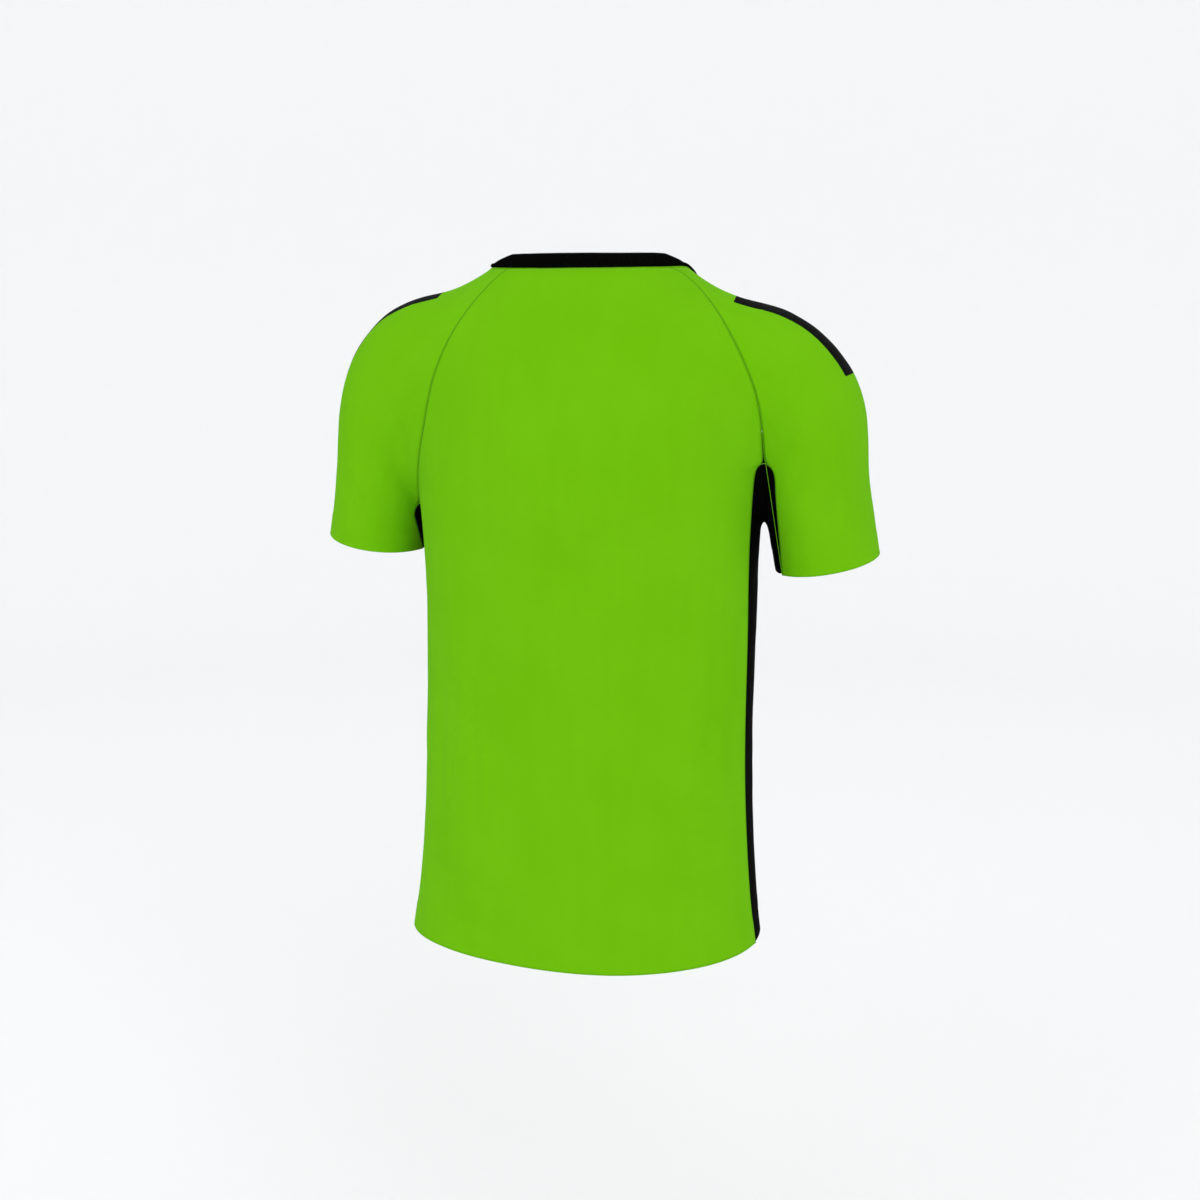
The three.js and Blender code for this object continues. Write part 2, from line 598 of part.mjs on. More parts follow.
// A wall of cloth over a grid of points: an outer and an inner face and a rim.
function clothWall(grid, thickness) {
  const [rows, columns] = [grid.length, grid[0].length];
  const points = [thickness / 2, -thickness / 2].flatMap((offset) =>
    grid.flat().map((p) => p.clone().addScaledVector(slopeAt(p).normalize(), offset)),
  );
  const outer = (i, j) => i * columns + j;
  const inner = (i, j) => rows * columns + outer(i, j);
  const faces = [];
  const quad = (a, b, c, d) => faces.push(a, c, b, a, d, c);
  for (let i = 0; i + 1 < rows; i++) {
    for (let j = 0; j + 1 < columns; j++) {
      quad(outer(i, j), outer(i, j + 1), outer(i + 1, j + 1), outer(i + 1, j));
      quad(inner(i, j), inner(i + 1, j), inner(i + 1, j + 1), inner(i, j + 1));
    }
  }
  for (let i = 0; i + 1 < rows; i++) {
    quad(inner(i, 0), outer(i, 0), outer(i + 1, 0), inner(i + 1, 0));
    quad(outer(i, columns - 1), inner(i, columns - 1), inner(i + 1, columns - 1), outer(i + 1, columns - 1));
  }
  for (let j = 0; j + 1 < columns; j++) {
    quad(outer(0, j), inner(0, j), inner(0, j + 1), outer(0, j + 1));
    quad(inner(rows - 1, j), outer(rows - 1, j), outer(rows - 1, j + 1), inner(rows - 1, j + 1));
  }
  const geometry = new THREE.BufferGeometry().setFromPoints(points);
  geometry.setIndex(faces);
  geometry.computeVertexNormals();
  return geometry;
}

function piece(name, geometry, material) {
  const mesh = new THREE.Mesh(geometry, material);
  mesh.name = name;
  return mesh;
}

const LIME = new THREE.MeshStandardMaterial({ color: 0x70bd14, roughness: 0.72, metalness: 0 });
const BLACK = new THREE.MeshStandardMaterial({ color: 0x060705, roughness: 0.8, metalness: 0 });

// The neck band follows the upper edges of the other pieces all the way round.
function neckBand(ring) {
  const count = ring.length;
  const points = ring.flatMap((point, i) => {
    const round = ring[(i + 1) % count].clone().sub(ring[(i + count - 1) % count]).normalize();
    const out = slopeAt(point).addScaledVector(round, -slopeAt(point).dot(round)).normalize();
    const up = new THREE.Vector3().crossVectors(out, round).normalize();
    return NECK_BAND.map((row) => point.clone().addScaledVector(out, row.out).addScaledVector(up, row.up));
  });
  const section = NECK_BAND.length;
  const faces = [];
  for (let i = 0; i < count; i++) {
    for (let k = 0; k < section; k++) {
      const [a, b] = [i * section + k, i * section + ((k + 1) % section)];
      const [c, d] = [((i + 1) % count) * section + ((k + 1) % section), ((i + 1) % count) * section + k];
      faces.push(a, c, b, a, d, c);
    }
  }
  const geometry = new THREE.BufferGeometry().setFromPoints(points);
  geometry.setIndex(faces);
  geometry.computeVertexNormals();
  return geometry;
}

const jersey = new THREE.Group();
const seams = new Map();
const tops = new Map();
for (const side of [LEFT, RIGHT]) {
  const panel = panelGrid(side);
  const apex = ROWS.side + ROWS.fan / 2;
  const edge = (column, from, to) => panel.slice(from, to + 1).map((row) => row[column]);
  const last = COLUMNS.panel;
  const backStart = neckPoint(side === LEFT ? RAGLAN_NECK.backLeft : RAGLAN_NECK.backRight);
  const raglanBack = raglanSeam(side, RAGLAN_BACK, backStart, panel[apex][0], 1);
  const frontStart = neckPoint(side * RAGLAN_NECK.front);
  const raglanFront = raglanSeam(side, RAGLAN_FRONT, frontStart, panel[apex][last], -1);
  seams.set(side, {
    back: [...raglanBack, ...edge(0, 0, apex - 1).reverse()],
    front: [...raglanFront, ...edge(last, 0, apex - 1).reverse()],
  });
  const sleeve = sleevePiece(
    side,
    [...raglanBack, ...edge(0, apex + 1, panel.length - 1)],
    [...raglanFront, ...edge(last, apex + 1, panel.length - 1)],
  );
  tops.set(side, sleeve[0]);
  const name = side === LEFT ? "left" : "right";
  const mirrored = (grid) => grid.map((row) => [...row].reverse());
  const panelFacing = side === LEFT ? panel : mirrored(panel);
  const sleeveFacing = side === LEFT ? mirrored(sleeve) : sleeve;
  jersey.add(piece(`side_panel_${name}`, clothWall(drawIn(panelFacing, apex), CLOTH), BLACK));
  jersey.add(piece(`sleeve_${name}`, clothWall(drawIn(sleeveFacing, ROWS.raglan), CLOTH), LIME));
}
const back = bodyPiece(seams.get(LEFT).back, seams.get(RIGHT).back, false);
const front = bodyPiece(seams.get(RIGHT).front, seams.get(LEFT).front, true);
jersey.add(piece("back", clothWall(drawIn(back, ROWS.raglan), CLOTH), LIME));
jersey.add(piece("front", clothWall(drawIn(front, ROWS.raglan), CLOTH), LIME));
const edges = [back[0], tops.get(RIGHT), front[0], [...tops.get(LEFT)].reverse()];
const ring = edges.flatMap((row) => row.slice(0, -1));
jersey.add(piece("neck_band", neckBand(ring), BLACK));

export default jersey;
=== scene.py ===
import json
import math

import bmesh
import bpy
import numpy as np
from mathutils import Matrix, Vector, bvhtree, kdtree, noise

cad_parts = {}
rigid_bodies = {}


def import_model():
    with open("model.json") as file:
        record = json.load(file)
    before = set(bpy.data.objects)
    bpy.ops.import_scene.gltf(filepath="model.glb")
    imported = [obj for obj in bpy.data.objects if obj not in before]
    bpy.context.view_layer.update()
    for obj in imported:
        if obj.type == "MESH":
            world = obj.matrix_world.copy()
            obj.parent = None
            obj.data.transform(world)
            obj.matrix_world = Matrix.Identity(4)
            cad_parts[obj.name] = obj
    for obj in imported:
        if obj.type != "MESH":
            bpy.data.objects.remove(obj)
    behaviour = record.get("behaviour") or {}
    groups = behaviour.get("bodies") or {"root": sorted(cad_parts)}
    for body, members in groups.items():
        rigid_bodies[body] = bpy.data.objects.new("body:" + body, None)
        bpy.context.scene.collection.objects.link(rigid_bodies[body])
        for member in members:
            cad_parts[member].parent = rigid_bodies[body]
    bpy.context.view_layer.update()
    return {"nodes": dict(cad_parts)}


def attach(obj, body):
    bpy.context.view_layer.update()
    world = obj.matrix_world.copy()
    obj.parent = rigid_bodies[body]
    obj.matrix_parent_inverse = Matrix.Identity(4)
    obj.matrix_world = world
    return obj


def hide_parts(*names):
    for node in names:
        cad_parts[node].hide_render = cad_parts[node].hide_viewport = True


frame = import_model()

# The back of the jersey. One piece of lime interlock knit, cut with raglan armholes, hemmed below and
# sewn to the sleeves, the side panels and the neck band. As every panel here it is a thin shell on the
# outer skin of its solid, with its creases pressed in.
MM = 0.001
CLOTH = 1.1 * MM
RIM_EDGE = 1.75 * MM
SAME_PLACE = 0.01 * MM
GRID_FIRST = 2
SMOOTHING = {"body": 2, "other": 3}
LIME = (0.146, 0.463, 0.0042, 1)
LIME_SHADE = (0.136, 0.443, 0.0028, 1)
LIME_INSIDE = (0.150, 0.470, 0.012, 1)
STRIPE_BLACK = (0.0012, 0.0014, 0.0010, 1)
WALE = 1.15 * MM
COURSE = 0.95 * MM
SEAM_DIP = {"width": 2.2, "depth": 0.5}
HEM_FOLD = {"height": 21, "rise": 0.35}
HEM_ROWS_UP_TO = -625 * MM
UNEVENNESS = {"broad": (62, 1.1), "small": (23, 0.35)}
CALM_BESIDE_SEAM = 12


def outer_skin(node, name, outward, up, smoothing):
    """The outer skin of a CAD node, as one sheet of quads with its flat cut as a UV map, in metres."""
    bpy.ops.object.select_all(action="DESELECT")
    skin = bpy.data.objects.new(name, frame["nodes"][node].data.copy())
    bpy.context.collection.objects.link(skin)
    bpy.context.view_layer.objects.active = skin
    skin.select_set(True)
    skin.data.materials.clear()
    bpy.ops.object.mode_set(mode="EDIT")
    bpy.ops.mesh.select_mode(type="FACE")
    bpy.ops.mesh.select_all(action="SELECT")
    bpy.ops.mesh.remove_doubles(threshold=SAME_PLACE)
    bpy.ops.mesh.select_all(action="DESELECT")
    cut = bmesh.from_edit_mesh(skin.data)
    for face in cut.faces:
        face.select = min(edge.calc_length() for edge in face.edges) < RIM_EDGE
    bpy.ops.mesh.delete(type="ONLY_FACE")
    cut = bmesh.from_edit_mesh(skin.data)
    bmesh.ops.delete(cut, geom=[edge for edge in cut.edges if not edge.link_faces], context="EDGES")
    farthest = max(cut.verts, key=lambda v: v.co.dot(Vector(outward)))
    for face in farthest.link_faces:
        face.select = True
    bpy.ops.mesh.select_linked()
    bpy.ops.mesh.select_all(action="INVERT")
    bpy.ops.mesh.delete(type="FACE")
    bpy.ops.mesh.select_all(action="SELECT")
    bpy.ops.mesh.tris_convert_to_quads(
        face_threshold=math.pi, shape_threshold=math.pi, topology_influence=GRID_FIRST
    )
    bpy.ops.mesh.select_all(action="DESELECT")
    bpy.ops.mesh.select_mode(type="EDGE")
    cut = bmesh.from_edit_mesh(skin.data)
    for edge in cut.edges:
        sides = [len(face.verts) for face in edge.link_faces]
        longest = [max(face.edges, key=lambda e: e.calc_length()) for face in edge.link_faces]
        edge.select = sides == [3, 3] and edge in longest
    bpy.ops.mesh.dissolve_edges(use_verts=False)
    bpy.ops.mesh.select_mode(type="FACE")
    bpy.ops.mesh.select_all(action="SELECT")
    bpy.ops.uv.unwrap(method="ANGLE_BASED", margin=0)
    bpy.ops.object.mode_set(mode="OBJECT")
    lay_flat(skin.data, up)
    smooth = skin.modifiers.new("finer", "SUBSURF")
    smooth.levels = smoothing
    smooth.render_levels = smoothing
    smooth.boundary_smooth = "PRESERVE_CORNERS"
    bpy.ops.object.modifier_apply(modifier="finer")
    return skin


def lay_flat(mesh, up):
    """Turns the unwrapped cut so that up on the piece is up on the cut, and gives it its real size."""
    flat = np.zeros(len(mesh.loops) * 2)
    mesh.uv_layers.active.data.foreach_get("uv", flat)
    flat = flat.reshape(-1, 2)
    corner = np.zeros(len(mesh.loops), int)
    mesh.loops.foreach_get("vertex_index", corner)
    height = places(mesh)[corner] @ np.array(up)
    slope = np.linalg.lstsq(np.c_[flat, np.ones(len(flat))], height, rcond=None)[0][:2]
    rise = slope / np.linalg.norm(slope)
    side = np.array([rise[1], -rise[0]])
    cut_area = 0
    for face in mesh.polygons:
        ring = flat[list(face.loop_indices)]
        after = np.roll(ring, -1, axis=0)
        cut_area += abs((ring[:, 0] * after[:, 1] - ring[:, 1] * after[:, 0]).sum()) / 2
    size = math.sqrt(sum(face.area for face in mesh.polygons) / cut_area)
    turned = np.c_[flat @ side, flat @ rise] * size
    mesh.uv_layers.active.data.foreach_set("uv", turned.ravel())


def places(mesh):
    """The places of a mesh's vertices, one row each."""
    found = np.zeros(len(mesh.vertices) * 3)
    mesh.vertices.foreach_get("co", found)
    return found.reshape(-1, 3)


def normals(mesh):
    """The normals at a mesh's vertices, one row each."""
    found = np.zeros(len(mesh.vertices) * 3)
    mesh.vertex_normals.foreach_get("vector", found)
    return found.reshape(-1, 3)


def borders(mesh):
    """The four edges of a sheet, each the row of its vertices from one corner to the next."""
    cut = bmesh.new()
    cut.from_mesh(mesh)

    def turn(vertex):
        rims = [edge for edge in vertex.link_edges if edge.is_boundary]
        before, after = (edge.other_vert(vertex).co - vertex.co for edge in rims)
        return len(vertex.link_edges) == 2, math.pi - before.angle(after)

    corners = sorted((v for v in cut.verts if v.is_boundary), key=turn)[-4:]
    runs, done = [], set()
    for corner in corners:
        for edge in corner.link_edges:
            if edge.index in done or not edge.is_boundary:
                continue
            run, at = [corner.index], corner
            while True:
                done.add(edge.index)
                at = edge.other_vert(at)
                run.append(at.index)
                if at in corners:
                    break
                edge = next(e for e in at.link_edges if e.is_boundary and e.index not in done)
            runs.append(run)
    cut.free()
    return runs


def split_rings(piece, run, low, high):
    """Splits in two the rows or columns of a sheet that start at an edge, between two heights."""
    bpy.ops.object.select_all(action="DESELECT")
    bpy.context.view_layer.objects.active = piece
    piece.select_set(True)
    bpy.ops.object.mode_set(mode="EDIT")
    bpy.ops.mesh.select_mode(type="EDGE")
    bpy.ops.mesh.select_all(action="DESELECT")
    cut = bmesh.from_edit_mesh(piece.data)
    for edge in cut.edges:
        middle = sum(v.co.z for v in edge.verts) / 2
        on_run = {v.index for v in edge.verts} <= set(run)
        edge.select = edge.is_boundary and on_run and low < middle < high
    bmesh.update_edit_mesh(piece.data)
    bpy.ops.mesh.loop_multi_select(ring=True)
    bpy.ops.mesh.subdivide(number_cuts=1)
    bpy.ops.object.mode_set(mode="OBJECT")


def by_height(piece):
    """The four edges of a sheet from the lowest to the highest."""
    heights = places(piece.data)[:, 2]
    return sorted(borders(piece.data), key=lambda run: heights[run].mean())


def distance_to(mesh, runs):
    """How far each vertex of a mesh is from some of its edges, in millimetres."""
    spots = places(mesh)
    along = [spots[i] for run in runs for i in run]
    tree = kdtree.KDTree(len(along))
    for i, spot in enumerate(along):
        tree.insert(spot, i)
    tree.balance()
    return np.array([tree.find(spot)[2] for spot in spots]) / MM


def crease_relief(mesh, creases, facing):
    """Listed creases in metres: each runs between two places (across, z), bowed in its middle."""
    spots, ways = places(mesh) / MM, normals(mesh)
    across = spots[:, :2] @ np.array([-facing[1], facing[0]])
    seen = np.clip((ways[:, :2] @ np.array(facing) + 0.15) / 0.4, 0, 1)
    relief = np.zeros(len(spots))
    for a1, z1, a2, z2, width, depth, bow in creases:
        run = np.array([a2 - a1, z2 - z1])
        length = np.linalg.norm(run)
        run = run / length
        off = np.c_[across - a1, spots[:, 2] - z1]
        along = np.clip(off @ run / length, 0, 1)
        beside = (off @ np.array([-run[1], run[0]]) - bow * 4 * along * (1 - along)) / width
        shape = (1 - 0.9 * beside**2) * np.exp(-(beside**2))
        relief -= depth * shape * np.sin(np.pi * along) ** 0.8 * seen
    return relief * MM


def uneven(mesh, size, depth, seed):
    """The soft unevenness of a limp knit, of this size and depth in millimetres."""
    spots = places(mesh) / MM / size + np.array([seed, 0, 0])
    return np.array([noise.noise(Vector(spot)) for spot in spots]) * depth * MM


def finish_panel(piece, creases, hems, seams, seed):
    """Presses creases, sewn edges and the turned-up hem into a sheet, then gives it its thickness."""
    mesh = piece.data
    relief = uneven(mesh, *UNEVENNESS["broad"], seed) + uneven(mesh, *UNEVENNESS["small"], seed + 9)
    for rows, facing in creases:
        relief += crease_relief(mesh, rows, facing)
    seam = distance_to(mesh, seams)
    relief *= np.clip(seam / CALM_BESIDE_SEAM, 0, 1)
    relief -= np.exp(-((seam / SEAM_DIP["width"]) ** 2)) * SEAM_DIP["depth"] * MM
    if hems:
        hem = distance_to(mesh, hems)
        turned = 1 / (1 + np.exp(np.clip((hem - HEM_FOLD["height"]) / 0.9, -30, 30)))
        relief = relief * np.clip(0.3 + hem / 60, 0, 1) + turned * HEM_FOLD["rise"] * MM
    moved = places(mesh) + normals(mesh) * relief[:, None]
    mesh.vertices.foreach_set("co", moved.ravel())
    mesh.update()
    wall = piece.modifiers.new("cloth", "SOLIDIFY")
    wall.thickness = CLOTH
    wall.offset = -1
    wall.material_offset = 1
    bpy.ops.object.select_all(action="DESELECT")
    bpy.context.view_layer.objects.active = piece
    piece.select_set(True)
    bpy.ops.object.modifier_apply(modifier="cloth")
    bpy.ops.object.shade_smooth()


def node_of(tree, kind, operation=None, **values):
    """One shader node, with its operation and its numbered or named inputs."""
    made = tree.nodes.new(kind)
    if operation:
        made.operation = operation
    for key, value in values.items():
        place = int(key[1:]) if key[0] == "i" and key[1:].isdigit() else key.replace("_", " ")
        if isinstance(value, bpy.types.NodeSocket):
            tree.links.new(value, made.inputs[place])
        else:
            made.inputs[place].default_value = value
    return made


def knit_group():
    """The face of a fine interlock knit: small V stitches on the flat cut, and a soft mottling."""
    tree = bpy.data.node_groups.new("fine_knit", "ShaderNodeTree")
    given_values = {"Cut": "NodeSocketVector", "Wale": "NodeSocketFloat", "Course": "NodeSocketFloat"}
    for name, kind in given_values.items():
        tree.interface.new_socket(name=name, in_out="INPUT", socket_type=kind)
    for name in ("Height", "Mottle"):
        tree.interface.new_socket(name=name, in_out="OUTPUT", socket_type="NodeSocketFloat")
    given = tree.nodes.new("NodeGroupInput")
    cut = node_of(tree, "ShaderNodeSeparateXYZ", i0=given.outputs["Cut"]).outputs
    across = node_of(tree, "ShaderNodeMath", "DIVIDE", i0=cut["X"], i1=given.outputs["Wale"]).outputs[0]
    along = node_of(tree, "ShaderNodeMath", "DIVIDE", i0=cut["Y"], i1=given.outputs["Course"]).outputs[0]
    loop = node_of(tree, "ShaderNodeMath", "PINGPONG", i0=across, i1=0.5).outputs[0]
    lean = node_of(tree, "ShaderNodeMath", "MULTIPLY_ADD", i0=loop, i1=1.1, i2=along).outputs[0]
    turn = node_of(tree, "ShaderNodeMath", "MULTIPLY", i0=lean, i1=2 * math.pi).outputs[0]
    stitch = node_of(tree, "ShaderNodeMath", "SINE", i0=turn).outputs[0]
    wale = node_of(tree, "ShaderNodeMath", "MULTIPLY", i0=loop, i1=1.6).outputs[0]
    height = node_of(tree, "ShaderNodeMath", "MULTIPLY_ADD", i0=stitch, i1=0.22, i2=wale).outputs[0]
    flat = given.outputs["Cut"]
    drawn = node_of(tree, "ShaderNodeVectorMath", "MULTIPLY", i0=flat, i1=(80, 9, 1)).outputs[0]
    lines = node_of(tree, "ShaderNodeTexNoise", Vector=drawn, Scale=1.0, Detail=2.0).outputs[0]
    patches = node_of(tree, "ShaderNodeTexNoise", Vector=flat, Scale=14.0, Detail=3.0).outputs[0]
    mottle = node_of(tree, "ShaderNodeMath", "MULTIPLY_ADD", i0=lines, i1=0.5, i2=patches).outputs[0]
    result = tree.nodes.new("NodeGroupOutput")
    tree.links.new(height, result.inputs["Height"])
    tree.links.new(mottle, result.inputs["Mottle"])
    return tree


def knit_material(name, light, dark, roughness, sheen, stripe=None):
    """A dyed fine knit between two colours, with its relief, and a printed stripe where it has one."""
    made = bpy.data.materials.new(name)
    made.use_nodes = True
    tree = made.node_tree
    shader = tree.nodes["Principled BSDF"]
    shader.inputs["Specular IOR Level"].default_value = 0.012
    shader.inputs["Sheen Weight"].default_value = sheen
    shader.inputs["Sheen Roughness"].default_value = 0.55
    cut = tree.nodes.new("ShaderNodeUVMap").outputs[0]
    knit = tree.nodes.new("ShaderNodeGroup")
    knit.node_tree = fine_knit
    tree.links.new(cut, knit.inputs["Cut"])
    knit.inputs["Wale"].default_value = WALE
    knit.inputs["Course"].default_value = COURSE
    tone = node_of(tree, "ShaderNodeMapRange", Value=knit.outputs["Mottle"])
    tone.inputs["From Min"].default_value = 0.55
    tone.inputs["From Max"].default_value = 0.95
    colour = node_of(tree, "ShaderNodeMix")
    colour.data_type = "RGBA"
    tree.links.new(tone.outputs[0], colour.inputs["Factor"])
    for socket in colour.inputs:
        if socket.type == "RGBA":
            socket.default_value = dark if socket.name == "A" else light
    dyed = [socket for socket in colour.outputs if socket.type == "RGBA"][0]
    relief = node_of(tree, "ShaderNodeBump", Height=knit.outputs["Height"])
    relief.inputs["Strength"].default_value = 0.35
    relief.inputs["Distance"].default_value = 0.12 * MM
    tree.links.new(relief.outputs[0], shader.inputs["Normal"])
    if stripe is None:
        tree.links.new(dyed, shader.inputs["Base Color"])
        shader.inputs["Roughness"].default_value = roughness
        return made
    edge = tree.nodes.new("ShaderNodeAttribute")
    edge.attribute_name = "stripe"
    inside = node_of(tree, "ShaderNodeMath", "LESS_THAN", i0=edge.outputs["Fac"], i1=0.0).outputs[0]
    printed = tree.nodes.new("ShaderNodeMix")
    printed.data_type = "RGBA"
    tree.links.new(inside, printed.inputs["Factor"])
    ground, ink = [socket for socket in printed.inputs if socket.type == "RGBA"]
    tree.links.new(dyed, ground)
    ink.default_value = stripe
    tree.links.new([s for s in printed.outputs if s.type == "RGBA"][0], shader.inputs["Base Color"])
    film = node_of(tree, "ShaderNodeMapRange", Value=inside)
    film.inputs["To Min"].default_value = roughness
    film.inputs["To Max"].default_value = 0.7
    tree.links.new(film.outputs[0], shader.inputs["Roughness"])
    return made


def wear(piece, *materials):
    """Puts materials on a piece, the outside first and the inside second."""
    for material in materials:
        piece.data.materials.append(material)


fine_knit = knit_group()
lime = knit_material("lime_knit", LIME, LIME_SHADE, 0.85, 0.01)
lime_inside = knit_material("lime_knit_inside", LIME_INSIDE, LIME_SHADE, 0.9, 0.0)

# Creases run from (across, z) to (across, z) with a half width, a depth (below zero for a ridge) and a bow,
# all in millimetres. Across is to the right as seen facing the panel.
FROM_BEHIND = (-0.225, 0.974)
FROM_THE_FRONT = (0, -1)
BACK_CREASES = [
    (-146, -372, -150, -575, 4.5, 0.9, 3),
    (-131, -405, -134, -560, 4, 0.7, -2),
    (-118, -378, -112, -545, 5, 1.0, 4),
    (-103, -415, -106, -565, 4.5, 0.6, -3),
    (-88, -455, -84, -540, 6, 0.5, 2),
    (104, -285, 97, -374, 6, 1.2, -9),
    (99, -418, 104, -473, 5, -0.8, 2),
    (116, -350, 96, -525, 17, 1.8, 6),
    (134, -400, 141, -565, 9, 1.2, -4),
    (84, -536, 128, -585, 7, 1.1, 5),
    (92, -577, 147, -632, 6, 1.0, -5),
    (100, -545, 150, -563, 5, 0.6, 3),
    (-160, -592, -66, -612, 9, 1.2, 6),
    (-152, -628, -92, -634, 7, 0.6, -3),
    (-62, -284, 66, -292, 15, 0.9, -6),
    (-38, -316, 52, -318, 10, 0.5, 4),
    (-122, -120, -92, -206, 8, 0.6, 5),
    (118, -128, 84, -212, 8, 0.6, -5),
]
back = outer_skin("back", "back_cloth", (0, 1, 0), (0, 0, 1), SMOOTHING["body"])
split_rings(back, by_height(back)[0], -1, 1)
split_rings(back, by_height(back)[1], -1, HEM_ROWS_UP_TO)
hem, *sides, neck = by_height(back)
outline = {"back": {"hem": places(back.data)[hem], "neck": places(back.data)[neck], "sides": sides}}
wear(back, lime, lime_inside)
finish_panel(back, [(BACK_CREASES, FROM_BEHIND)], [hem], sides + [neck], 3)
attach(back, "root")
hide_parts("back")

# The front, the same knit. It is cut lower at the neck and hangs in its own, similar creases.
FRONT_CREASES = [
    (142, -365, 147, -570, 5, 0.9, -3),
    (124, -398, 128, -555, 4.5, 0.7, 3),
    (108, -410, 104, -540, 5, 0.8, -4),
    (-104, -292, -96, -380, 6, 1.1, 8),
    (-118, -352, -98, -530, 16, 1.6, -6),
    (-138, -410, -143, -560, 8, 1.0, 4),
    (-86, -540, -130, -590, 7, 1.0, -5),
    (-94, -580, -146, -628, 6, 0.8, 5),
    (158, -590, 70, -614, 9, 1.1, -6),
    (60, -288, -62, -296, 15, 0.9, 5),
    (118, -124, 88, -210, 8, 0.7, -5),
    (-116, -126, -86, -214, 8, 0.6, 5),
]
front = outer_skin("front", "front_cloth", (0, -1, 0), (0, 0, 1), SMOOTHING["body"])
split_rings(front, by_height(front)[0], -1, 1)
split_rings(front, by_height(front)[1], -1, HEM_ROWS_UP_TO)
hem, *sides, neck = by_height(front)
outline["front"] = {"hem": places(front.data)[hem], "neck": places(front.data)[neck]}
wear(front, lime, lime_inside)
finish_panel(front, [(FRONT_CREASES, FROM_THE_FRONT)], [hem], sides + [neck], 17)
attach(front, "root")
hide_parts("front")

# The two raglan sleeves, the same knit, sewn to front and back up to the neck. A plain black stripe is
# printed along the top of each shoulder, and runs down over the top of the arm.
STRIPE_LINE = [
    (112, 2, -24), (145, 0, -28), (180, -4, -40), (208, -7, -54),
    (230, -9, -74), (247, -11, -100), (258, -12, -130), (263, -13, -170),
]
STRIPE = {"start": 37, "end": 176, "behind": 33, "before": -10, "reach": 62}
SLEEVES = {
    "sleeve_left": {
        "outward": (1, 0, 0), "side": 1, "seed": 31, "flat": (0.332, 0.372), "area": 0.0893,
        "behind": [(-236, -150, -206, -232, 8, 1.0, -5), (-196, -118, -188, -205, 7, 0.6, 4),
                   (-252, -196, -238, -282, 9, 0.8, 4), (-214, -236, -222, -290, 6, 0.5, -3)],
        "before": [(206, -140, 190, -226, 8, 0.9, 5), (240, -170, 246, -262, 8, 0.6, -4)],
    },
    "sleeve_right": {
        "outward": (-1, 0, 0), "side": -1, "seed": 47, "flat": (0.300, 0.381), "area": 0.0824,
        "behind": [(206, -150, 182, -240, 8, 1.1, 5), (240, -128, 250, -220, 8, 0.7, -4),
                   (222, -214, 232, -296, 8, 0.8, 4), (196, -262, 206, -318, 6, 0.5, -3)],
        "before": [(-204, -146, -192, -236, 8, 0.9, -5), (-242, -176, -248, -270, 8, 0.6, 4)],
    },
}


def mark_stripe(mesh, side):
    """Writes how far each vertex is outside the printed stripe, in metres; below zero is inside it."""
    line = np.array(STRIPE_LINE) * np.array([side, 1, 1])
    starts, steps = line[:-1], np.diff(line, axis=0)
    lengths = np.linalg.norm(steps, axis=1)
    before = np.concatenate([[0], np.cumsum(lengths)[:-1]])
    spots = places(mesh) / MM
    off = spots[:, None, :] - starts[None]
    share = np.clip((off * steps).sum(2) / lengths**2, 0, 1)
    nearest = starts + share[..., None] * steps
    gap = np.linalg.norm((spots[:, None, :] - nearest)[..., [0, 2]], axis=2)
    best = gap.argmin(1)
    row = np.arange(len(spots))
    along = before[best] + share[row, best] * lengths[best]
    beside = spots[:, 1] - nearest[row, best, 1]
    middle = (STRIPE["behind"] + STRIPE["before"]) / 2
    half = (STRIPE["behind"] - STRIPE["before"]) / 2
    ends = np.abs(along - (STRIPE["start"] + STRIPE["end"]) / 2) - (STRIPE["end"] - STRIPE["start"]) / 2
    outside = np.maximum(np.abs(beside - middle) - half, ends)
    outside = np.maximum(outside, gap[row, best] - STRIPE["reach"])
    written = mesh.attributes.new("stripe", "FLOAT", "POINT")
    written.data.foreach_set("value", (outside * MM).astype(np.float32))


lime_striped = knit_material("lime_knit_with_stripe", LIME, LIME_SHADE, 0.85, 0.01, stripe=STRIPE_BLACK)
for name, sleeve in SLEEVES.items():
    up_the_arm = (-0.5 * sleeve["side"], 0, 0.85)
    piece = outer_skin(name, name + "_cloth", sleeve["outward"], up_the_arm, SMOOTHING["other"])
    cuff, *sides, neck = by_height(piece)
    sides.sort(key=lambda run: places(piece.data)[run, 1].mean())
    at = places(piece.data)
    outline[name] = {
        "hem": at[cuff], "neck": at[neck], "front_seam": at[sides[0]], "back_seam": at[sides[1]],
    }
    mark_stripe(piece.data, sleeve["side"])
    wear(piece, lime_striped, lime_inside)
    creases = [(sleeve["behind"], FROM_BEHIND), (sleeve["before"], FROM_THE_FRONT)]
    finish_panel(piece, creases, [cuff], sides + [neck], sleeve["seed"])
    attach(piece, "root")
    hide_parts(name)

